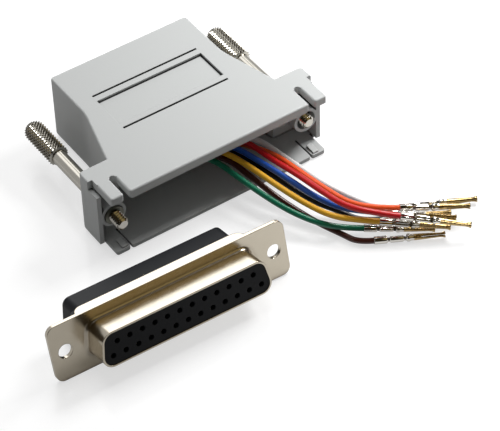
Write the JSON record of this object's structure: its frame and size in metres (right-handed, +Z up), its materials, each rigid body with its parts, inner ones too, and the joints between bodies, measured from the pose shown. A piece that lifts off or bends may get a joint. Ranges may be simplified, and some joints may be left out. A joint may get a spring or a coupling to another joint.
{
  "type": "d-sub to ethernet adapter",
  "caption": "Moulded adapter hood with a modular jack at the back, loose crimped leads, captive thumbscrews and the loose multiway connector it takes.",
  "frame": {"origin": "centre of the hood's underside, at half of the hood's length", "axes": "+Z up, +Y towards the jack, +X across the hood to the right seen from the open mouth's side"},
  "size_m": [0.0952, 0.0759, 0.0159],
  "materials": {
    "grey_plastic": "fine texture, satin",
    "black_plastic": "smooth, satin",
    "gold_wire": "gold flash",
    "plated_brass": "tin on the barrel, gold on the socket",
    "nickel_steel": "bright nickel, diamond knurl on the head",
    "tinned_steel": "bright tin",
    "green_pvc": "glossy",
    "brown_pvc": "glossy",
    "yellow_pvc": "glossy",
    "black_pvc": "glossy",
    "blue_pvc": "glossy",
    "red_pvc": "glossy",
    "orange_pvc": "glossy",
    "white_pvc": "glossy"
  },
  "bodies": {
    "adapter": {"hood": "grey_plastic", "jack_housing": "black_plastic", "contact_carrier": "black_plastic", "jack_contact_1": "gold_wire", "jack_contact_2": "gold_wire", "jack_contact_3": "gold_wire", "jack_contact_4": "gold_wire", "jack_contact_5": "gold_wire", "jack_contact_6": "gold_wire", "jack_contact_7": "gold_wire", "jack_contact_8": "gold_wire", "lead_green": "green_pvc", "crimp_contact_green": "plated_brass", "lead_brown": "brown_pvc", "crimp_contact_brown": "plated_brass", "lead_yellow": "yellow_pvc", "crimp_contact_yellow": "plated_brass", "lead_black": "black_pvc", "crimp_contact_black": "plated_brass", "lead_blue": "blue_pvc", "crimp_contact_blue": "plated_brass", "lead_red": "red_pvc", "crimp_contact_red": "plated_brass", "lead_orange": "orange_pvc", "crimp_contact_orange": "plated_brass", "lead_white": "white_pvc", "crimp_contact_white": "plated_brass", "connector_shell": "tinned_steel", "front_insulator": "black_plastic", "rear_insulator": "black_plastic"},
    "left_ring": {"left_retaining_ring": "nickel_steel"},
    "left_screw": {"left_thumbscrew": "nickel_steel"},
    "right_ring": {"right_retaining_ring": "nickel_steel"},
    "right_screw": {"right_thumbscrew": "nickel_steel"}
  },
  "joints": [
    {"name": "left_screw_slide", "type": "slide", "parent": "adapter", "child": "left_ring", "axis": [0, -1, 0], "range_m": [-0.0035, 0.0035]},
    {"name": "left_screw_turn", "type": "hinge", "parent": "left_ring", "child": "left_screw", "pos_m": [-0.02352, -0.01565, 0.00755], "axis": [0, -1, 0], "continuous": true},
    {"name": "right_screw_slide", "type": "slide", "parent": "adapter", "child": "right_ring", "axis": [0, -1, 0], "range_m": [-0.0009, 0.0061]},
    {"name": "right_screw_turn", "type": "hinge", "parent": "right_ring", "child": "right_screw", "pos_m": [0.02352, -0.01305, 0.00755], "axis": [0, -1, 0], "continuous": true}
  ]
}
